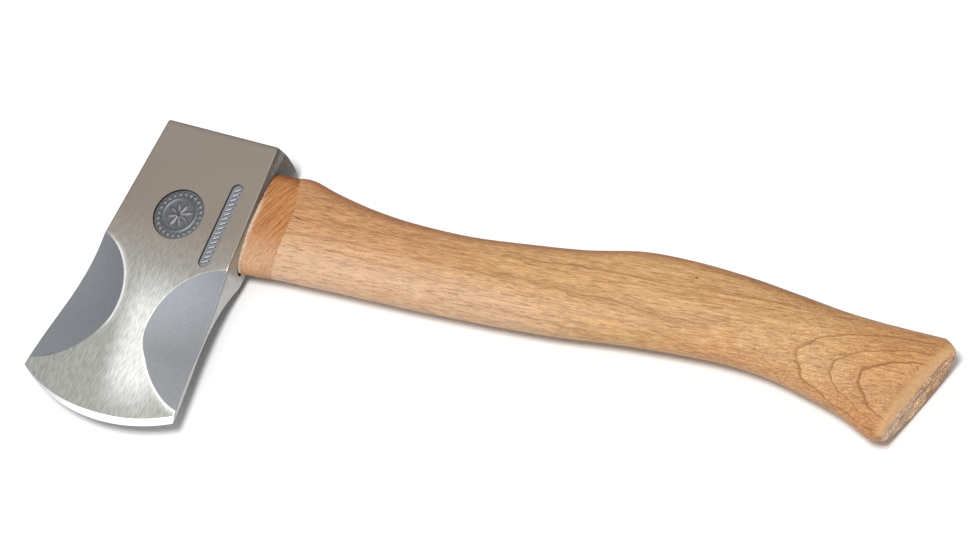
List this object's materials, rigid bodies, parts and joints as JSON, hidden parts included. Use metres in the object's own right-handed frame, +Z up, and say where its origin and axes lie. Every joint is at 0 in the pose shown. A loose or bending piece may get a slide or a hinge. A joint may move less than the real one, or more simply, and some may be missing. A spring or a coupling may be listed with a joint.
{
  "type": "hatchet",
  "caption": "Forged single-bit hatchet head with a hammer poll and scooped blade, wedged on a curved wooden handle, for chopping and splitting small wood by hand.",
  "frame": {"origin": "centre of the bounding box at its lowest face, with the hatchet lying on one cheek", "axes": "+X along the handle from the eye to the butt, +Y from the bit towards the poll, +Z up through the thickness of the head"},
  "size_m": [0.37, 0.1382, 0.0249],
  "materials": {
    "head_steel": "ground and brushed cheeks, matte blasted scoops, polished edge",
    "hickory": "fine-sanded, thin clear lacquer, sawn butt",
    "wedge_wood": "raw sawn end grain",
    "wedge_steel": "dark mill finish with a hammered end"
  },
  "bodies": {
    "root": {"axe_head": "head_steel", "handle": "hickory", "wood_wedge": "wedge_wood", "steel_wedge": "wedge_steel"}
  },
  "joints": []
}
